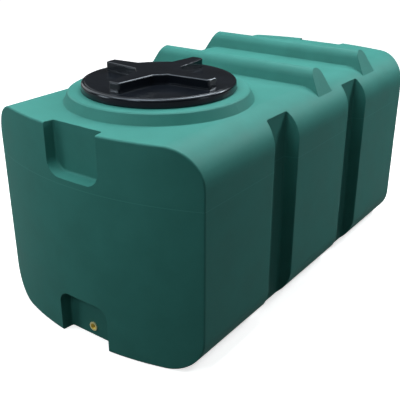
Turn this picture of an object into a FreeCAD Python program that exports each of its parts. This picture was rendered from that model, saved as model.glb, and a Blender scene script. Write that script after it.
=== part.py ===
"""Rotomoulded transport water tank with a screw lid, a lid seal and a brass outlet insert.

Millimetres, +Z up. The origin is on the floor, under the middle of the tank. The long side lies
along Y and the outlet end faces -Y. The tank is one hollow moulding: a box with round long
corners and bulged ends, two strap channels down each side, two raised ribs across the deck, a
hand recess at the top of each end, an outlet recess at the foot of the front end and a raised
neck that carries the lid.
"""
import FreeCAD, Part
import math
import os
import Sketcher

os.makedirs("parts", exist_ok=True)
doc = FreeCAD.newDocument("water_tank")

SIZES = {
    # tank box
    "width": 750,
    "deck_height": 652,
    "side_length": 1266,
    "end_bulge": 82,
    "corner_radius": 105,
    "fold_radius": 5.5,
    "wall": 6,
    # strap channels, two down each side
    "channel_pitch": 470,
    "channel_width": 138,
    "channel_floor_width": 112,
    "channel_depth": 40,
    "channel_edge_radius": 4,
    "channel_root_radius": 9,
    # recesses in the ends
    "recess_width": 188,
    "recess_corner_radius": 42,
    "recess_root_radius": 7,
    "recess_draft": 8,
    "hand_recess_depth": 37,
    "hand_recess_height": 144.5,
    "outlet_recess_depth": 42,
    "outlet_recess_height": 141,
    # raised ribs across the deck
    "rib_height": 51,
    "rib_flank_draft": 15,
    "rib_top_radius": 34.3,
    "rib_one_offset": 61,
    "rib_pitch": 333,
    "rib_end_top": 296,
    "rib_end_foot": 342,
    "rib_end_drop": 31,
    "rib_root_depth": 50,
    # neck boss and collar
    "neck_setback": 291,
    "boss_foot_radius": 279.5,
    "boss_top_radius": 264.5,
    "boss_height": 30,
    "boss_edge_chamfer": 3,
    "mouth_radius": 200,
    "collar_wall": 14,
    "collar_height": 17,
    # screw lid
    "lid_skirt_wall": 12,
    "lid_height": 25,
    "lid_draft": 5,
    "lid_edge_radius": 7,
    "lid_foot_chamfer": 2,
    "lid_plate": 5,
    "lid_skirt_gap": 1.5,
    "lid_seat_gap": 0.3,
    # cross grip on the lid
    "grip_reach": 191,
    "grip_height": 28,
    "grip_tip_half": 19.5,
    "grip_root_half": 32,
    "grip_root_reach": 64,
    "grip_corner_radius": 6,
    "grip_foot": 2.5,
    "grip_edge_chamfer": 2.5,
    # seal under the lid
    "seal_setback": 1,
    "seal_gap": 0.15,
    # outlet insert
    "outlet_height": 30.5,
    "insert_radius": 14,
    "insert_lip": 3,
    "insert_length": 24,
    "insert_bore_radius": 9.3,
    "pad_wall": 8,
    "pad_depth": 14,
}

sheet = doc.addObject("Spreadsheet::Sheet", "Sizes")
for row, (alias, value) in enumerate(SIZES.items(), start=1):
    sheet.set(f"A{row}", alias)
    sheet.set(f"B{row}", str(value))
    sheet.setAlias(f"B{row}", alias)
doc.recompute()


def size(alias):
    """A driving dimension, read from the sheet."""
    return float(sheet.get(alias))


reckoner = doc.addObject("App::FeaturePython", "Reckoner")
reckoner.addProperty("App::PropertyFloat", "Value")


def worked_out(expression):
    """The value of an expression over the sheet's names, for a sketch's first guess."""
    reckoner.setExpression("Value", expression)
    reckoner.recompute()
    if "Invalid" in reckoner.State or "Error" in reckoner.State:
        raise RuntimeError(f"can't work out {expression}")
    return reckoner.Value


def named(expression):
    """Put the sheet's name before every size that an expression mentions."""
    out = expression
    for alias in sorted(SIZES, key=len, reverse=True):
        out = out.replace(f"<{alias}>", f"Sizes.{alias}")
    return out


def new_body(name):
    body = doc.addObject("PartDesign::Body", name)
    body.Label = name
    return body


def origin_plane(body, role):
    return next(item for item in body.Origin.OriginFeatures if item.Role == role)


def new_sketch(body, role, name, lift=None):
    """A sketch on one of the body's own origin planes, lifted along its normal if asked."""
    sketch = body.newObject("Sketcher::SketchObject", name)
    sketch.AttachmentSupport = (origin_plane(body, role), [""])
    sketch.MapMode = "FlatFace"
    if lift:
        sketch.setExpression("AttachmentOffset.Base.z", named(lift))
    doc.recompute()
    return sketch


def bind(sketch, constraint, expression):
    index = sketch.addConstraint(constraint)
    sketch.setExpression(f"Constraints[{index}]", named(expression))


def closed_outline(sketch, corners):
    """Draw one closed outline.

    corners is a list of (x, y, radius, side). Each corner's place is bound to the sheet. Where
    radius is given, the edge to the next corner is an arc of that radius whose centre lies on
    the side (+1 left, -1 right) of the line between the two.
    """
    spots = [(worked_out(named(x)), worked_out(named(y))) for x, y, _, _ in corners]
    first = sketch.GeometryCount
    ends = []
    for index, (_, _, radius, side) in enumerate(corners):
        ax, ay = spots[index]
        bx, by = spots[(index + 1) % len(spots)]
        start = FreeCAD.Vector(ax, ay, 0)
        finish = FreeCAD.Vector(bx, by, 0)
        if radius is None:
            sketch.addGeometry(Part.LineSegment(start, finish))
            ends.append((1, 2))
            continue
        reach = worked_out(named(radius))
        half = start.distanceToPoint(finish) / 2
        away = side * math.sqrt(max(reach * reach - half * half, 0))
        along = (finish - start).normalize()
        centre = (start + finish) / 2 + FreeCAD.Vector(-along.y, along.x, 0) * away
        low, high = (start, finish) if side > 0 else (finish, start)
        turn_from = math.atan2(low.y - centre.y, low.x - centre.x)
        turn_to = math.atan2(high.y - centre.y, high.x - centre.x)
        whole = Part.Circle(centre, FreeCAD.Vector(0, 0, 1), reach)
        sketch.addGeometry(Part.ArcOfCircle(whole, turn_from, turn_to))
        ends.append((1, 2) if side > 0 else (2, 1))
    count = len(corners)
    for index, (x, y, radius, _) in enumerate(corners):
        edge = first + index
        following = first + (index + 1) % count
        sketch.addConstraint(Sketcher.Constraint("Coincident", edge, ends[index][1],
                                                 following, ends[(index + 1) % count][0]))
        px, py = spots[index]
        bind(sketch, Sketcher.Constraint("DistanceX", -1, 1, edge, ends[index][0], px), x)
        bind(sketch, Sketcher.Constraint("DistanceY", -1, 1, edge, ends[index][0], py), y)
        if radius is not None:
            bind(sketch, Sketcher.Constraint("Radius", edge, worked_out(named(radius))), radius)


def circle(sketch, x, y, radius):
    centre = FreeCAD.Vector(worked_out(named(x)), worked_out(named(y)), 0)
    edge = sketch.addGeometry(Part.Circle(centre, FreeCAD.Vector(0, 0, 1), worked_out(named(radius))))
    bind(sketch, Sketcher.Constraint("DistanceX", -1, 1, edge, 3, centre.x), x)
    bind(sketch, Sketcher.Constraint("DistanceY", -1, 1, edge, 3, centre.y), y)
    bind(sketch, Sketcher.Constraint("Radius", edge, worked_out(named(radius))), radius)


def corner(x, y):
    return (x, y, None, 0)


def feature(body, kind, name, sketch, **settings):
    """A sketch-based feature; text settings that name sizes are bound to the sheet."""
    item = body.newObject(f"PartDesign::{kind}", name)
    item.Profile = sketch
    for key, value in settings.items():
        if isinstance(value, str) and "<" in value:
            item.setExpression(key, named(value))
        else:
            setattr(item, key, value)
    sketch.Visibility = False
    doc.recompute()
    return item


def round_edges(body, name, chosen, radius):
    """Fillet the edges of the body's tip that the rule picks."""
    base = body.Tip
    picked = [f"Edge{n}" for n, edge in enumerate(base.Shape.Edges, start=1) if chosen(edge)]
    if not picked:
        raise RuntimeError(f"{name}: no edge to round")
    item = body.newObject("PartDesign::Fillet", name)
    item.Base = (base, picked)
    item.setExpression("Radius", named(radius))
    doc.recompute()
    return item


def bevel_edges(body, name, chosen, width):
    """Chamfer the edges of the body's tip that the rule picks."""
    base = body.Tip
    picked = [f"Edge{n}" for n, edge in enumerate(base.Shape.Edges, start=1) if chosen(edge)]
    if not picked:
        raise RuntimeError(f"{name}: no edge to bevel")
    item = body.newObject("PartDesign::Chamfer", name)
    item.Base = (base, picked)
    item.setExpression("Size", named(width))
    doc.recompute()
    return item


def span(edge, axis):
    box = edge.BoundBox
    return {"x": box.XLength, "y": box.YLength, "z": box.ZLength}[axis]


MARGIN = "40"
TOTAL_LENGTH = "(<side_length> + 2 * <end_bulge>)"
BULGE_RADIUS = "((<width> * <width> / 4 + <end_bulge> * <end_bulge>) / (2 * <end_bulge>))"
CHANNEL_PLACES = ("-<channel_pitch> / 2", "<channel_pitch> / 2")
RIB_PLACES = ("<rib_one_offset>", "(<rib_one_offset> + <rib_pitch>)")
NECK_PLACE = "(<neck_setback> - <side_length> / 2)"
COLLAR_RADIUS = "(<mouth_radius> + <collar_wall>)"
SKIRT_RADIUS = "(<mouth_radius> + <collar_wall> + <lid_skirt_gap>)"
LID_RADIUS = "(<mouth_radius> + <collar_wall> + <lid_skirt_gap> + <lid_skirt_wall>)"
LID_SEAT = "<deck_height> + <boss_height> + <lid_seat_gap>"


def box_section(body, inset):
    """The cross-section across the tank, run along its length, with its long corners rounded."""
    half = f"(<width> / 2 - {inset})"
    top = f"(<deck_height> - {inset})"
    sketch = new_sketch(body, "XZ_Plane", "Section")
    closed_outline(sketch, [corner(f"-{half}", inset), corner(half, inset),
                            corner(half, top), corner(f"-{half}", top)])
    feature(body, "Pad", "Box", sketch, SideType="Symmetric", Length=TOTAL_LENGTH)
    long_enough = size("side_length") * 0.9
    round_edges(body, "LongCorners", lambda edge: span(edge, "y") > long_enough,
                f"<corner_radius> - {inset}")


def end_points(inset):
    """Where an end's bulge meets the side wall, and the radius of that bulge."""
    radius = f"({BULGE_RADIUS} - {inset})"
    half = f"(<width> / 2 - {inset})"
    centre = f"({BULGE_RADIUS} - <side_length> / 2 - <end_bulge>)"
    fold = f"(sqrt({radius} * {radius} - {half} * {half}) - {centre})"
    return radius, half, fold


def bulged_ends(body, inset):
    """Trim both ends to a plan arc, so that they bow out between the side walls."""
    radius, half, fold = end_points(inset)
    beyond = f"(<side_length> / 2 + <end_bulge> + {MARGIN})"
    outside = f"(<width> / 2 + {MARGIN})"
    sketch = new_sketch(body, "XY_Plane", "EndPlan")
    for sign, other in (("-", ""), ("", "-")):
        closed_outline(sketch, [
            (f"{sign}{half}", f"{sign}{fold}", radius, 1),
            corner(f"{other}{half}", f"{sign}{fold}"),
            corner(f"{other}{outside}", f"{sign}{fold}"),
            corner(f"{other}{outside}", f"{sign}{beyond}"),
            corner(f"{sign}{outside}", f"{sign}{beyond}"),
            corner(f"{sign}{outside}", f"{sign}{fold}"),
        ])
    feature(body, "Pocket", "BulgedEnds", sketch, Type="ThroughAll", SideType="Symmetric")


def on_end(edge):
    """Whether an edge lies all the way along one of the outer end bulges."""
    bulge = size("end_bulge")
    half = size("width") / 2
    radius = (half ** 2 + bulge ** 2) / (2 * bulge)
    centre = size("side_length") / 2 + bulge - radius
    first, last = edge.ParameterRange
    for share in (0.02, 0.25, 0.5, 0.75, 0.98):
        spot = edge.valueAt(first + share * (last - first))
        if abs(math.hypot(spot.x, abs(spot.y) - centre) - radius) > 0.02:
            return False
    return True


def channel_plan(sign, place, inset):
    """One channel in plan, from its floor out past the side wall, with its mouth rounded."""
    mouth = f"(<channel_width> / 2 + {inset})"
    floor = f"(<channel_floor_width> / 2 + {inset})"
    deep = f"(<width> / 2 - <channel_depth> - {inset})"
    wall = "(<width> / 2)"
    outside = f"(<width> / 2 + {MARGIN})"
    flank = "atan((<channel_width> - <channel_floor_width>) / (2 * <channel_depth>))"
    edge = "<channel_edge_radius>"
    trim = f"({edge} * tan((90 deg - {flank}) / 2))"
    near_x = f"({wall} - {trim} * cos({flank}))"
    near_y = f"({mouth} - {trim} * sin({flank}))"
    far_y = f"({mouth} + {trim})"
    if inset != "0":
        return [
            corner(f"{sign}{deep}", f"{place} - {floor}"),
            corner(f"{sign}{wall}", f"{place} - {mouth}"),
            corner(f"{sign}{outside}", f"{place} - {mouth}"),
            corner(f"{sign}{outside}", f"{place} + {mouth}"),
            corner(f"{sign}{wall}", f"{place} + {mouth}"),
            corner(f"{sign}{deep}", f"{place} + {floor}"),
        ]
    side = 1 if sign else -1
    return [
        corner(f"{sign}{deep}", f"{place} - {floor}"),
        (f"{sign}{near_x}", f"{place} - {near_y}", edge, side),
        corner(f"{sign}{wall}", f"{place} - {far_y}"),
        corner(f"{sign}{outside}", f"{place} - {far_y}"),
        corner(f"{sign}{outside}", f"{place} + {far_y}"),
        (f"{sign}{wall}", f"{place} + {far_y}", edge, side),
        corner(f"{sign}{near_x}", f"{place} + {near_y}"),
        corner(f"{sign}{deep}", f"{place} + {floor}"),
    ]


def side_channels(body, inset):
    """Two upright channels down each side. They run out through the foot and the top corner."""
    sketch = new_sketch(body, "XY_Plane", "ChannelPlan")
    for sign in ("", "-"):
        for place in CHANNEL_PLACES:
            closed_outline(sketch, channel_plan(sign, place, inset))
    feature(body, "Pocket", "Channels", sketch, Type="ThroughAll", SideType="Symmetric")


def soften_channels(body):
    """Round the roots of the channels."""
    floor_x = size("width") / 2 - size("channel_depth")
    half_floor = size("channel_floor_width") / 2
    half_pitch = size("channel_pitch") / 2
    roots = [end * half_pitch + side * half_floor for end in (-1, 1) for side in (-1, 1)]

    def at_root(edge):
        box = edge.BoundBox
        return (box.XLength < 0.01 and box.YLength < 0.01 and abs(abs(box.XMin) - floor_x) < 0.01
                and min(abs(box.YMin - y) for y in roots) < 0.01)

    round_edges(body, "ChannelRoots", at_root, "<channel_root_radius>")


def recess(body, name, end, low, high, depth, round_top, inset):
    """A flat-backed recess in one end. It is open at the deck, or at the floor if round_top."""
    closing = f"({depth} * tan(<recess_draft>))"
    grow = f"({inset} - {closing})"
    half = f"(<recess_width> / 2 + {grow})"
    turn = f"(<recess_corner_radius> + {grow})"
    back = f"(<side_length> / 2 + <end_bulge> - {depth} - {inset})"
    sketch = new_sketch(body, "XZ_Plane", name + "Outline", back if end < 0 else f"-{back}")
    shut = f"({high} + {grow})" if round_top else f"({low} - {grow})"
    open_side = f"({low} - {MARGIN})" if round_top else f"({high} + {MARGIN})"
    inward = f"({shut} - {turn})" if round_top else f"({shut} + {turn})"
    side = 1 if round_top else -1
    closed_outline(sketch, [
        corner(f"{half}", open_side),
        (f"{half}", inward, turn, side),
        corner(f"{half} - {turn}", shut),
        (f"-{half} + {turn}", shut, turn, side),
        corner(f"-{half}", inward),
        corner(f"-{half}", open_side),
    ])
    feature(body, "Pocket", name, sketch, Length=f"{depth} + {MARGIN}",
            TaperAngle="<recess_draft>", Reversed=end < 0)
    if inset == "0":
        back_y = worked_out(named(back))
        round_edges(body, name + "Root", lambda edge: edge.BoundBox.YLength < 0.01
                    and abs(edge.BoundBox.YMin - end * back_y) < 0.01
                    and size("deck_height") - 1 > edge.BoundBox.ZMax
                    - (edge.BoundBox.ZLength > 1) * 1.5 and edge.BoundBox.ZMin > -0.01
                    and not (edge.BoundBox.ZLength < 0.01 and edge.BoundBox.ZMin < 0.01),
                    "<recess_root_radius>")
        report(name + " root", body.Shape)


def recesses(body, inset):
    hand_low = "(<deck_height> - <hand_recess_height>)"
    recess(body, "FrontHandRecess", -1, hand_low, "<deck_height>", "<hand_recess_depth>", False, inset)
    recess(body, "RearHandRecess", 1, hand_low, "<deck_height>", "<hand_recess_depth>", False, inset)
    recess(body, "OutletRecess", -1, "0", "<outlet_recess_height>", "<outlet_recess_depth>", True, inset)


def neck_boss(body, inset):
    """The low tapered boss under the collar."""
    slope = "((<boss_foot_radius> - <boss_top_radius>) / <boss_height>)"
    sink = "20"
    sketch = new_sketch(body, "XY_Plane", "BossPlan", f"<deck_height> - {sink}")
    circle(sketch, "0", NECK_PLACE, f"<boss_foot_radius> + {slope} * {sink} - {inset}")
    return feature(body, "Pad", "Boss", sketch, Length=f"<boss_height> + {sink} - {inset}",
                   TaperAngle=f"-atan({slope})")


def rib_profiles(body, inset):
    """Both ribs in side view: drafted flanks and a full round top."""
    radius = f"(<rib_top_radius> - {inset})"
    lean = "<rib_flank_draft>"
    centre = "(<deck_height> + <rib_height> - <rib_top_radius>)"
    shoulder = f"({radius} * cos({lean}))"
    shoulder_z = f"({centre} + {radius} * sin({lean}))"
    root_z = "(<deck_height> - <rib_root_depth>)"
    foot = f"({shoulder} + ({shoulder_z} - {root_z}) * tan({lean}))"
    sketch = new_sketch(body, "YZ_Plane", "RibProfiles")
    for place in RIB_PLACES:
        closed_outline(sketch, [
            corner(f"{place} - {foot}", root_z),
            (f"{place} - {shoulder}", shoulder_z, radius, -1),
            corner(f"{place} + {shoulder}", shoulder_z),
            corner(f"{place} + {foot}", root_z),
        ])
    feature(body, "Pad", "Ribs", sketch, SideType="Symmetric", Length="<width> - 2")


def rib_ends(body, inset):
    """Cut both ends of the ribs along a steep plane that runs out on the long corner."""
    lean = "((<rib_end_foot> - <rib_end_top>) / (<rib_end_drop> + <rib_height>))"
    high = f"(<deck_height> + <rib_height> + {MARGIN})"
    low = f"(<deck_height> - <rib_root_depth> - {MARGIN})"
    high_x = f"(<rib_end_top> - {lean} * {MARGIN} - {inset})"
    low_x = f"(<rib_end_top> + {lean} * (<rib_height> + <rib_root_depth> + {MARGIN}) - {inset})"
    outside = f"(<width> / 2 + {MARGIN})"
    sketch = new_sketch(body, "XZ_Plane", "RibEnds")
    for sign in ("", "-"):
        closed_outline(sketch, [corner(f"{sign}{low_x}", low), corner(f"{sign}{outside}", low),
                                corner(f"{sign}{outside}", high), corner(f"{sign}{high_x}", high)])
    feature(body, "Pocket", "CutEnds", sketch, Type="ThroughAll", SideType="Symmetric")


def ribs(name, inset):
    body = new_body(name)
    rib_profiles(body, inset)
    rib_ends(body, inset)
    report("ribs", body.Shape)
    return body


def report(label, shape):
    print(f"{label:24s} valid {shape.isValid()} solids {len(shape.Solids)} "
          f"volume {shape.Volume / 1e6:.3f} litres faces {len(shape.Faces)}")


def tank_body(name, inset):
    """The whole box of the tank. With an inset it is the space inside the wall."""
    body = new_body(name)
    box_section(body, inset)
    bulged_ends(body, inset)
    report("bulged", body.Shape)
    if inset == "0":
        round_edges(body, "Folds", on_end, "<fold_radius>")
    side_channels(body, inset)
    report("channels", body.Shape)
    if inset == "0":
        soften_channels(body)
    recesses(body, inset)
    report("recesses", body.Shape)
    neck_boss(body, inset)
    if inset == "0":
        top = size("deck_height") + size("boss_height")
        bevel_edges(body, "BossEdge", lambda edge: abs(edge.BoundBox.ZMin - top) < 0.01,
                    "<boss_edge_chamfer>")
    report("boss", body.Shape)
    return body


def collar(body):
    sketch = new_sketch(body, "XY_Plane", "CollarPlan", "<deck_height> + <boss_height>")
    circle(sketch, "0", NECK_PLACE, COLLAR_RADIUS)
    feature(body, "Pad", "Collar", sketch, Length="<collar_height>")


def mouth(body):
    """The opening, run up past the top of the collar."""
    sketch = new_sketch(body, "XY_Plane", "MouthPlan", "<deck_height> - <wall>")
    circle(sketch, "0", NECK_PLACE, "<mouth_radius>")
    feature(body, "Pad", "Mouth", sketch, Length=f"<boss_height> + <collar_height> + {MARGIN}")


def solid(kind, name, **settings):
    """A Part primitive or boolean; text settings are bound to the sheet."""
    item = doc.addObject(f"Part::{kind}", name)
    for key, value in settings.items():
        if isinstance(value, str):
            item.setExpression(key, named(value))
        else:
            setattr(item, key, value)
    doc.recompute()
    return item


def turned(name, points):
    """A body of revolution about its own Z, from (radius, height) corners."""
    body = new_body(name)
    sketch = new_sketch(body, "XZ_Plane", "Profile")
    closed_outline(sketch, [corner(x, z) for x, z in points])
    item = body.newObject("PartDesign::Revolution", "Turned")
    item.Profile = sketch
    item.ReferenceAxis = (sketch, ["V_Axis"])
    item.Angle = 360
    sketch.Visibility = False
    doc.recompute()
    return body


def stand(body, x, y, z):
    """Give a sub-part its own place."""
    for axis, expression in zip("xyz", (x, y, z)):
        body.setExpression(f"Placement.Base.{axis}", named(expression))
    doc.recompute()


def grip_outline(sketch, inset):
    """The cross on the lid: four arms that widen to flats between them."""
    reach = f"(<grip_reach> - {inset})"
    tip = f"(<grip_tip_half> - {inset})"
    turn = f"(<grip_corner_radius> - {inset})"
    near = f"(<grip_root_reach> - {inset} * tan(22.5))"
    wide = f"(<grip_root_half> - {inset})"
    arm = [
        (wide, f"-{near}"),
        (near, f"-{wide}"),
        (f"({reach} - {turn})", f"-{tip}"),
        (reach, f"-({tip} - {turn})"),
        (reach, f"({tip} - {turn})"),
        (f"({reach} - {turn})", tip),
    ]
    quarter_turns = (("", 0, "", 1), ("-", 1, "", 0), ("-", 0, "-", 1), ("", 1, "-", 0))
    corners = []
    for x_sign, x_part, y_sign, y_part in quarter_turns:
        for index, spot in enumerate(arm[1:]):
            radius = turn if index in (1, 3) else None
            corners.append((f"{x_sign}({spot[x_part]})", f"{y_sign}({spot[y_part]})", radius,
                            1 if radius else 0))
        corners.append((f"{x_sign}({(near, wide)[x_part]})", f"{y_sign}({(near, wide)[y_part]})",
                        None, 0))
    closed_outline(sketch, corners)


def rounded_shoulder(steps):
    """Corners of the lid's rounded shoulder, from the skirt up to the top plate."""
    lean = "<lid_draft>"
    radius = "<lid_edge_radius>"
    rim = f"({LID_RADIUS} - <lid_height> * tan({lean}))"
    centre_x = f"({rim} - {radius} * tan((90 - {lean}) / 2))"
    centre_z = f"(<lid_height> - {radius})"
    corners = []
    for step in range(steps + 1):
        turn = f"({lean} + (90 - {lean}) * {step} / {steps})"
        corners.append((f"{centre_x} + {radius} * cos({turn})", f"{centre_z} + {radius} * sin({turn})"))
    return corners


def make_lid_rim():
    """The lid's outer ring: the skirt round the collar and the rounded shoulder over it."""
    body = turned("screw_lid", [
        (SKIRT_RADIUS, "0"),
        (f"({LID_RADIUS} - <lid_foot_chamfer>)", "0"),
        (f"({LID_RADIUS} - <lid_foot_chamfer> * tan(<lid_draft>))", "<lid_foot_chamfer>"),
        *rounded_shoulder(3),
        (SKIRT_RADIUS, "<lid_height>"),
    ])
    stand(body, "0", NECK_PLACE, LID_SEAT)
    return body


def make_lid_plate():
    """The flat disc inside the ring. It closes the mouth and presses on the seal."""
    under = "(<lid_height> - <lid_plate>)"
    body = turned("lid_plate", [("0", under), (SKIRT_RADIUS, under),
                                (SKIRT_RADIUS, "<lid_height>"), ("0", "<lid_height>")])
    stand(body, "0", NECK_PLACE, LID_SEAT)
    return body


def make_lid_grip():
    """The hollow cross grip on the disc, with a small flared foot."""
    body = new_body("lid_grip")
    sketch = new_sketch(body, "XY_Plane", "GripPlan", "<lid_height>")
    grip_outline(sketch, "0")
    feature(body, "Pad", "Grip", sketch, Length="<grip_height>")
    top = size("lid_height") + size("grip_height")
    bevel_edges(body, "GripTop", lambda edge: edge.BoundBox.ZMin > top - 0.01,
                "<grip_edge_chamfer>")
    report("grip", body.Shape)
    sketch = new_sketch(body, "XY_Plane", "FootPlan", "<lid_height>")
    grip_outline(sketch, "-<grip_foot>")
    feature(body, "Pad", "GripFoot", sketch, Length="<grip_foot>", TaperAngle=-45)
    report("grip foot", body.Shape)
    sketch = new_sketch(body, "XY_Plane", "GripInside", "<lid_height>")
    grip_outline(sketch, "<lid_plate>")
    feature(body, "Pocket", "HollowGrip", sketch, Length="<grip_height> - <lid_plate>", Reversed=True)
    report("grip inside", body.Shape)
    stand(body, "0", NECK_PLACE, LID_SEAT)
    return body


def make_seal():
    top = "(<lid_height> - <lid_plate> + <lid_seat_gap> - <seal_gap>)"
    bottom = "(<collar_height> + <seal_gap>)"
    inner = "(<mouth_radius> + <seal_setback>)"
    outer = f"({COLLAR_RADIUS} - <seal_setback>)"
    body = turned("lid_seal", [(inner, bottom), (outer, bottom), (outer, top), (inner, top)])
    stand(body, "0", NECK_PLACE, "<deck_height> + <boss_height>")
    return body


def insert_profile(bore):
    """Corners of the insert about its own axis. Its face stands at height 0."""
    return [
        (bore, "0"),
        ("<insert_radius>", "0"),
        ("<insert_radius>", "<insert_length>"),
        (bore, "<insert_length>"),
    ]


def face_outlet(body, lip):
    """Lay a body of revolution down so that its own Z runs into the tank at the outlet."""
    body.Placement = FreeCAD.Placement(FreeCAD.Vector(0, 0, 0),
                                       FreeCAD.Rotation(FreeCAD.Vector(1, 0, 0), -90))
    stand(body, "0", f"-(<side_length> / 2 + <end_bulge> - <outlet_recess_depth> + {lip})",
          "<outlet_height>")


def make_shell():
    outer = tank_body("tank_form", "0")
    collar(outer)
    inner = tank_body("tank_space", "<wall>")
    mouth(inner)
    outer_ribs = ribs("rib_form", "0")
    inner_ribs = ribs("rib_space", "<wall>")
    whole = solid("MultiFuse", "outside", Shapes=[outer, outer_ribs])
    report("outside", whole.Shape)
    space = solid("MultiFuse", "inside", Shapes=[inner, inner_ribs])
    report("inside", space.Shape)
    wall = solid("Cut", "wall_only", Base=whole, Tool=space)
    report("wall", wall.Shape)
    pad_radius = "(<insert_radius> + <pad_wall>)"
    pad = turned("outlet_pad", [("0", "0"), (pad_radius, "0"), (pad_radius, "<pad_depth>"),
                                ("0", "<pad_depth>")])
    face_outlet(pad, "-<wall> / 2")
    hole = turned("insert_hole", insert_profile("0"))
    face_outlet(hole, "<insert_lip>")
    thick = solid("Fuse", "wall_and_pad", Base=wall, Tool=pad)
    shell = solid("Cut", "tank_shell", Base=thick, Tool=hole)
    shell.Label = "tank_shell"
    report("shell", shell.Shape)
    return shell


shell = make_shell()
lid_rim = make_lid_rim()
lid_plate = make_lid_plate()
lid_grip = make_lid_grip()
seal = make_seal()
insert = turned("outlet_insert", insert_profile("<insert_bore_radius>"))
face_outlet(insert, "<insert_lip>")
report("seal", seal.Shape)
report("insert", insert.Shape)

doc.recompute()
for item in doc.Objects:
    if "Invalid" in item.State or "Error" in item.State:
        raise RuntimeError(f"{item.Label} did not build: {item.State}")
for part in (shell, lid_rim, lid_plate, lid_grip, seal, insert):
    if part.Shape.isNull() or not part.Shape.isValid():
        raise RuntimeError(f"{part.Label} has no valid shape")
    part.Shape.exportStep(f"parts/{part.Label}.step")
    box = part.Shape.BoundBox
    print(part.Label, len(part.Shape.Solids), box)
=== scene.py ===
"""Looks of the water tank: materials, threads, camera, light and stage.

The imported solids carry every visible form. This file gives them their plastics, rubber and
brass, and adds two threads: one inside the outlet insert, and one round the collar, which the
closed lid hides.
"""
import math
import bmesh
import bpy
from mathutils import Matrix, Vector


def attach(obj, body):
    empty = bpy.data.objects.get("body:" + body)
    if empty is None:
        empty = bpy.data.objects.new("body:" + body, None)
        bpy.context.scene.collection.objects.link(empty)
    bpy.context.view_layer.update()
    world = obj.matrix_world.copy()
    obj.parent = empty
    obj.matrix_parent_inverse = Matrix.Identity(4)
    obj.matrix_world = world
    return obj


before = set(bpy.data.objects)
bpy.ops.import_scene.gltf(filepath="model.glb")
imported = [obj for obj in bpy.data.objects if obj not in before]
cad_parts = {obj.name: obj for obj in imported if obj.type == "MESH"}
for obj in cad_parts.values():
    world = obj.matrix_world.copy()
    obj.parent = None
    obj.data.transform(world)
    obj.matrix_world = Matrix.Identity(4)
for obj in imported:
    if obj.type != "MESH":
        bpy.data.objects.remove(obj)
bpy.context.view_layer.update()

# camera, solved from the photograph's vanishing points: metres, degrees, and millimetres of lens
CAMERA_PLACE = (1.2337, -1.8299, 1.1909)
CAMERA_TURN = (65.678, 0.0, 36.1385)
LENS = 60.534
SENSOR_WIDTH = 36.0

# soft square lamps: name, place and width in metres, power in watts
LAMPS = (
    ("overhead", (0.0, -0.8, 2.1), 0.9, 17.5),
    ("over_the_rear", (0.0, 0.8, 2.6), 1.2, 50.0),
    ("front_left", (-1.2, -1.8, 2.8), 0.8, 15.0),
    ("front_left_low", (-2.2, -2.6, 1.2), 0.8, 15.0),
    ("front", (0.0, -3.0, 2.4), 0.8, 18.5),
    ("left", (-2.5, -0.1, 1.9), 2.2, 19.0),
    ("right", (3.2, 0.5, 1.0), 0.8, 3.5),
    ("rear_right", (1.6, 2.4, 2.4), 0.8, 67.0),
)
LAMP_TARGET = (0.0, -0.2, 0.5)
LAMP_COLOUR = (0.95, 0.99, 1.0)

# floor: its width, how far it lies under the tank, its colour where it is seen and as a light
FLOOR_WIDTH = 30.0
FLOOR_DROP = 0.001
FLOOR_SEEN = (0.8, 0.8, 0.8, 1.0)
FLOOR_AS_LIGHT = (0.11, 0.11, 0.11, 1.0)

# the floor's own glow where it is seen, as a distance from the middle and a strength there. It
# rises outwards, so that the floor meets the background.
FLOOR_GLOW_NEAR = (1.0, 0.72)
FLOOR_GLOW_FAR = (4.0, 1.0)

# white of the glow and of the background where it is seen, and the background as a light
WHITE = (1.0, 1.0, 1.0, 1.0)
WORLD_TINT = (0.93, 0.97, 1.0, 1.0)
WORLD_AS_LIGHT = 0.02

# how much of the white floor a glossy surface mirrors, and of the white background: the low share
# where the mirrored ray's upward part is small, rising to all of it where that part is large
FLOOR_MIRRORED = 0.25
WORLD_MIRRORED = 0.03
WORLD_LOW_UP_TO = 0.45
WORLD_FULL_FROM = 0.80

# places on the tank and the radius of the outlet's bore, in metres
PARTING_HEIGHT = 0.490
OUTLET_HEIGHT = 0.0305
OUTLET_FACE = -0.676
OUTLET_BORE = 0.0093
NECK_Y = -0.342
BOSS_TOP = 0.682

# parting line: half its width where it is full and where it has faded out, its colour, and how
# much of that colour shows
LINE_FULL = 0.0004
LINE_GONE = 0.0016
LINE_COLOUR = (0.07, 0.30, 0.26, 1.0)
LINE_SHARE = 0.42

# how high the line and the fine grain stand in the tank's bump, where the ripple is 1
LINE_HEIGHT = 0.9
GRAIN_HEIGHT = 0.25

# colours: each pair is mixed by a soft noise
TANK_COLOURS = ((0.033, 0.176, 0.153, 1.0), (0.039, 0.198, 0.173, 1.0))
LID_COLOURS = ((0.002, 0.003, 0.005, 1.0), (0.0035, 0.005, 0.008, 1.0))
RUBBER_COLOURS = ((0.012, 0.012, 0.012, 1.0), (0.03, 0.03, 0.031, 1.0))
BRASS_COLOURS = ((1.0, 0.94, 0.50, 1.0), (0.99, 0.86, 0.34, 1.0))
# painted shade: a deeper, more saturated brass for the bore's wall and thread, standing in for the
# shade inside the bore
BRASS_BORE_PAINTED_SHADE = (0.95, 0.75, 0.12, 1.0)
LID_GLOSS_TINT = (0.75, 0.87, 1.0, 1.0)

# turning rings on the brass, in radians a metre of radius, and the width over which the bore's
# painted shade fades out round its mouth, in metres
RING_DENSITY = 9000.0
BORE_SHADE_EDGE = 0.0008

# threads, in metres: one inside the outlet's bore and one round the outside of the collar
OUTLET_PITCH = 0.0018
OUTLET_CREST = 0.0086
OUTLET_BASE = 0.0015
COLLAR_PITCH = 0.008
COLLAR_ROOT = 0.2139
COLLAR_CREST = 0.2151
COLLAR_BASE = 0.0040

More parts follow.
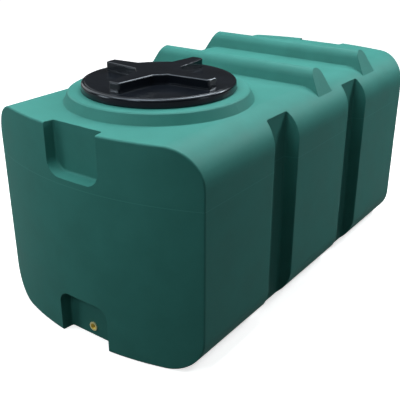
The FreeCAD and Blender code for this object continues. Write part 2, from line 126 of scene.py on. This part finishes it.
# a crest stands out in full after an eighth of a turn, and starts at a small share of its height
RUN_OUTS_A_TURN = 8.0
LEAST_CREST = 0.02


def camera():
    """The camera at the photograph's viewing angle."""
    data = bpy.data.cameras.new("Camera")
    data.sensor_width = SENSOR_WIDTH
    data.lens = LENS
    item = bpy.data.objects.new("Camera", data)
    item.location = CAMERA_PLACE
    item.rotation_euler = [math.radians(turn) for turn in CAMERA_TURN]
    bpy.context.scene.collection.objects.link(item)
    bpy.context.scene.camera = item


class Nodes:
    """A node tree that is written as plain calls."""

    def __init__(self, tree):
        self.tree = tree
        tree.nodes.clear()

    def add(self, kind, settings=(), **inputs):
        """Add a shader node. Settings are its properties, and inputs its sockets by name."""
        node = self.tree.nodes.new("ShaderNode" + kind)
        for key, value in settings:
            setattr(node, key, value)
        for key, value in inputs.items():
            self.feed(node, key.replace("_", " "), value)
        return node

    def feed(self, node, socket, value):
        """Link or set one socket, which is given by its name or number."""
        target = node.inputs[socket]
        if isinstance(value, bpy.types.NodeSocket):
            self.tree.links.new(value, target)
        else:
            target.default_value = value

    def maths(self, operation, *values):
        node = self.add("Math", [("operation", operation)])
        for index, value in enumerate(values):
            self.feed(node, index, value)
        return node.outputs[0]

    def blend(self, share, first, second):
        """Mix two colours. The colour sockets of the Mix node are numbers 6, 7 and 2."""
        node = self.add("Mix", [("data_type", "RGBA")])
        self.feed(node, 0, share)
        self.feed(node, 6, first)
        self.feed(node, 7, second)
        return node.outputs[2]

    def ramp(self, value, low, high, out_low=0.0, out_high=1.0):
        """Map low..high to out_low..out_high, held at both ends."""
        node = self.add("MapRange", [("clamp", True)], Value=value, From_Min=low, From_Max=high,
                        To_Min=out_low, To_Max=out_high)
        return node.outputs[0]

    def noise(self, place, scale, detail, roughness):
        """Soft noise about the value 0.5, which a ramp spreads."""
        node = self.add("TexNoise", Vector=place, Scale=scale, Detail=detail, Roughness=roughness)
        return node.outputs[0]


def material(name):
    made = bpy.data.materials.new(name)
    made.use_nodes = True
    return made, Nodes(made.node_tree)


def tank_plastic():
    """Blue-green moulded polyethylene: fine grain, soft mottling and a faint parting line."""
    made, nodes = material("tank_polyethylene")
    place = nodes.add("TexCoord").outputs["Object"]
    parts = nodes.add("SeparateXYZ", Vector=place)
    mottle = nodes.noise(place, scale=9.0, detail=3.0, roughness=0.6)
    grain = nodes.noise(place, scale=650.0, detail=2.0, roughness=0.55)
    ripple = nodes.noise(place, scale=28.0, detail=2.0, roughness=0.5)
    from_line = nodes.maths("ABSOLUTE", nodes.maths("SUBTRACT", parts.outputs["Z"], PARTING_HEIGHT))
    line = nodes.ramp(from_line, LINE_FULL, LINE_GONE, 1.0, 0.0)
    colour = nodes.blend(nodes.ramp(mottle, 0.35, 0.65), *TANK_COLOURS)
    colour = nodes.blend(nodes.maths("MULTIPLY", line, LINE_SHARE), colour, LINE_COLOUR)
    rough = nodes.ramp(mottle, 0.3, 0.7, 0.54, 0.62)
    height = nodes.maths("ADD", nodes.maths("MULTIPLY", grain, GRAIN_HEIGHT), ripple)
    height = nodes.maths("ADD", height, nodes.maths("MULTIPLY", line, LINE_HEIGHT))
    soft = nodes.add("Bevel", [("samples", 4)], Radius=0.0025)
    bump = nodes.add("Bump", Strength=0.22, Distance=0.0008, Height=height, Normal=soft.outputs[0])
    skin = nodes.add("BsdfPrincipled", Base_Color=colour, Roughness=rough, Normal=bump.outputs[0],
                     Specular_IOR_Level=0.14, IOR=1.5)
    nodes.add("OutputMaterial", Surface=skin.outputs[0])
    return made


def lid_plastic():
    """Black injection-moulded plastic with a soft gloss and a faint moulded texture."""
    made, nodes = material("lid_black")
    place = nodes.add("TexCoord").outputs["Object"]
    cloud = nodes.noise(place, scale=14.0, detail=3.0, roughness=0.6)
    grain = nodes.noise(place, scale=900.0, detail=2.0, roughness=0.5)
    rough = nodes.ramp(cloud, 0.3, 0.7, 0.18, 0.21)
    colour = nodes.blend(nodes.ramp(cloud, 0.3, 0.7), *LID_COLOURS)
    soft = nodes.add("Bevel", [("samples", 8)], Radius=0.005)
    bump = nodes.add("Bump", Strength=0.05, Distance=0.0004, Height=grain, Normal=soft.outputs[0])
    skin = nodes.add("BsdfPrincipled", Base_Color=colour, Roughness=rough, Normal=bump.outputs[0],
                     Specular_IOR_Level=0.5, Specular_Tint=LID_GLOSS_TINT)
    nodes.add("OutputMaterial", Surface=skin.outputs[0])
    return made


def seal_rubber():
    """Matt black rubber with a dusty bloom."""
    made, nodes = material("seal_rubber")
    place = nodes.add("TexCoord").outputs["Object"]
    bloom = nodes.noise(place, scale=60.0, detail=4.0, roughness=0.6)
    colour = nodes.blend(nodes.ramp(bloom, 0.4, 0.7), *RUBBER_COLOURS)
    bump = nodes.add("Bump", Strength=0.2, Distance=0.0003, Height=bloom)
    skin = nodes.add("BsdfPrincipled", Base_Color=colour, Roughness=0.7, Normal=bump.outputs[0])
    nodes.add("OutputMaterial", Surface=skin.outputs[0])
    return made


def insert_brass():
    """Turned brass with fine turning rings about its axis and slight tarnish, and painted shade in
    the bore: a deeper, more saturated brass there.
    """
    made, nodes = material("insert_brass")
    place = nodes.add("TexCoord").outputs["Object"]
    parts = nodes.add("SeparateXYZ", Vector=place)
    up = nodes.maths("SUBTRACT", parts.outputs["Z"], OUTLET_HEIGHT)
    reach = nodes.maths("SQRT", nodes.maths("ADD", nodes.maths("POWER", parts.outputs["X"], 2.0),
                                           nodes.maths("POWER", up, 2.0)))
    rings = nodes.maths("SINE", nodes.maths("MULTIPLY", reach, RING_DENSITY))
    tarnish = nodes.noise(place, scale=160.0, detail=3.0, roughness=0.6)
    colour = nodes.blend(nodes.ramp(tarnish, 0.4, 0.7), *BRASS_COLOURS)
    # painted shade: within the bore's radius the brass turns to the deeper, more saturated bore
    # colour, which fades out over a short width round the mouth
    inside = nodes.ramp(reach, OUTLET_BORE, OUTLET_BORE + BORE_SHADE_EDGE, 1.0, 0.0)
    colour = nodes.blend(inside, colour, BRASS_BORE_PAINTED_SHADE)
    rough = nodes.ramp(tarnish, 0.3, 0.7, 0.26, 0.38)
    bump = nodes.add("Bump", Strength=0.15, Distance=0.0001, Height=rings)
    skin = nodes.add("BsdfPrincipled", Base_Color=colour, Metallic=0.25, Roughness=rough,
                     Normal=bump.outputs[0])
    nodes.add("OutputMaterial", Surface=skin.outputs[0])
    return made


def thread(name, made, start, along, across, root, crest, base, pitch, turns, steps):
    """A helical ridge with a closed skin. Its crest runs out to the root at both ends.

    start is on the axis, at the middle of the first turn's foot. along is the axis and across a
    direction square to it. root and crest are radii. base is how wide the ridge is at its root,
    and its crest is a quarter of that. steps is how many rings of points make a turn.
    """
    along = Vector(along)
    across = Vector(across)
    up = along.cross(across)
    shape = bmesh.new()
    rings = []
    count = int(turns * steps)
    for index in range(count + 1):
        turn = 2.0 * math.pi * index / steps
        run_out = min(1.0, RUN_OUTS_A_TURN * index / steps, RUN_OUTS_A_TURN * (count - index) / steps)
        tip = root + (crest - root) * max(run_out, LEAST_CREST)
        out = across * math.cos(turn) + up * math.sin(turn)
        place = Vector(start) + along * (pitch * index / steps)
        rings.append([shape.verts.new(place + out * root - along * base / 2),
                      shape.verts.new(place + out * tip - along * base / 8),
                      shape.verts.new(place + out * tip + along * base / 8),
                      shape.verts.new(place + out * root + along * base / 2)])
    for first, second in zip(rings, rings[1:]):
        for side in range(4):
            following = (side + 1) % 4
            shape.faces.new((first[side], first[following], second[following], second[side]))
    shape.faces.new(rings[0])
    shape.faces.new(list(reversed(rings[-1])))
    bmesh.ops.recalc_face_normals(shape, faces=shape.faces)
    data = bpy.data.meshes.new(name)
    shape.to_mesh(data)
    shape.free()
    data.materials.append(made)
    item = bpy.data.objects.new(name, data)
    bpy.context.scene.collection.objects.link(item)
    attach(item, "tank")


def dress(node, made):
    """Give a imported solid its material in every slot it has."""
    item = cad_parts[node]
    if not item.material_slots:
        item.data.materials.append(made)
    for slot in item.material_slots:
        slot.material = made


def only_when_seen(nodes, seen, unseen, mirrored_share):
    """A shader that is one thing where it is seen, also mirrored, and another as a light."""
    path = nodes.add("LightPath")
    mirrored = nodes.maths("MULTIPLY", path.outputs["Is Glossy Ray"], mirrored_share)
    share = nodes.maths("MAXIMUM", path.outputs["Is Camera Ray"], mirrored)
    share = nodes.maths("MAXIMUM", share, path.outputs["Is Transmission Ray"])
    mix = nodes.add("MixShader")
    nodes.feed(mix, 0, share)
    nodes.feed(mix, 1, unseen.outputs[0])
    nodes.feed(mix, 2, seen.outputs[0])
    return mix.outputs[0]


def floor():
    """A plain pale floor that keeps the tank's shadow."""
    bpy.ops.mesh.primitive_plane_add(size=FLOOR_WIDTH, location=(0.0, 0.0, -FLOOR_DROP))
    item = bpy.context.object
    item.name = "studio_floor"
    made, nodes = material("studio_floor")
    reach = nodes.add("VectorMath", [("operation", "LENGTH")],
                      Vector=nodes.add("TexCoord").outputs["Object"]).outputs["Value"]
    near, glow_near = FLOOR_GLOW_NEAR
    far, glow_far = FLOOR_GLOW_FAR
    glow = nodes.add("Emission", Color=WHITE,
                     Strength=nodes.ramp(reach, near, far, glow_near, glow_far))
    lit = nodes.add("BsdfDiffuse", Color=FLOOR_SEEN)
    seen = nodes.add("AddShader")
    nodes.feed(seen, 0, glow.outputs[0])
    nodes.feed(seen, 1, lit.outputs[0])
    unseen = nodes.add("BsdfDiffuse", Color=FLOOR_AS_LIGHT)
    nodes.add("OutputMaterial", Surface=only_when_seen(nodes, seen, unseen, FLOOR_MIRRORED))
    item.data.materials.append(made)


def background():
    """A white background that adds next to no light."""
    world = bpy.data.worlds.new("studio")
    bpy.context.scene.world = world
    world.use_nodes = True
    nodes = Nodes(world.node_tree)
    seen = nodes.add("Background", Color=WHITE, Strength=1.0)
    unseen = nodes.add("Background", Color=WORLD_TINT, Strength=WORLD_AS_LIGHT)
    ray = nodes.add("SeparateXYZ", Vector=nodes.add("TexCoord").outputs["Generated"])
    mirrored = nodes.ramp(ray.outputs["Z"], WORLD_LOW_UP_TO, WORLD_FULL_FROM, WORLD_MIRRORED, 1.0)
    nodes.add("OutputWorld", Surface=only_when_seen(nodes, seen, unseen, mirrored))


def lamps():
    """Soft square lamps that face the tank."""
    for name, place, width, power in LAMPS:
        data = bpy.data.lights.new(name, "AREA")
        data.shape = "SQUARE"
        data.size = width
        data.energy = power
        data.color = LAMP_COLOUR
        item = bpy.data.objects.new(name, data)
        item.location = place
        aim = Vector(LAMP_TARGET) - Vector(place)
        item.rotation_euler = aim.to_track_quat("-Z", "Y").to_euler()
        bpy.context.scene.collection.objects.link(item)


camera()
green = tank_plastic()
brass = insert_brass()
black = lid_plastic()
dress("tank_shell", green)
for node in ("screw_lid", "lid_plate", "lid_grip"):
    dress(node, black)
dress("lid_seal", seal_rubber())
dress("outlet_insert", brass)
thread("outlet_thread", brass, (0.0, OUTLET_FACE + OUTLET_PITCH, OUTLET_HEIGHT),
       along=(0.0, 1.0, 0.0), across=(1.0, 0.0, 0.0), root=OUTLET_BORE, crest=OUTLET_CREST,
       base=OUTLET_BASE, pitch=OUTLET_PITCH, turns=11, steps=40)
thread("collar_thread", green, (0.0, NECK_Y, BOSS_TOP + COLLAR_PITCH / 2),
       along=(0.0, 0.0, 1.0), across=(1.0, 0.0, 0.0), root=COLLAR_ROOT, crest=COLLAR_CREST,
       base=COLLAR_BASE, pitch=COLLAR_PITCH, turns=1.25, steps=96)
floor()
background()
lamps()
bpy.context.scene.view_settings.view_transform = "Standard"
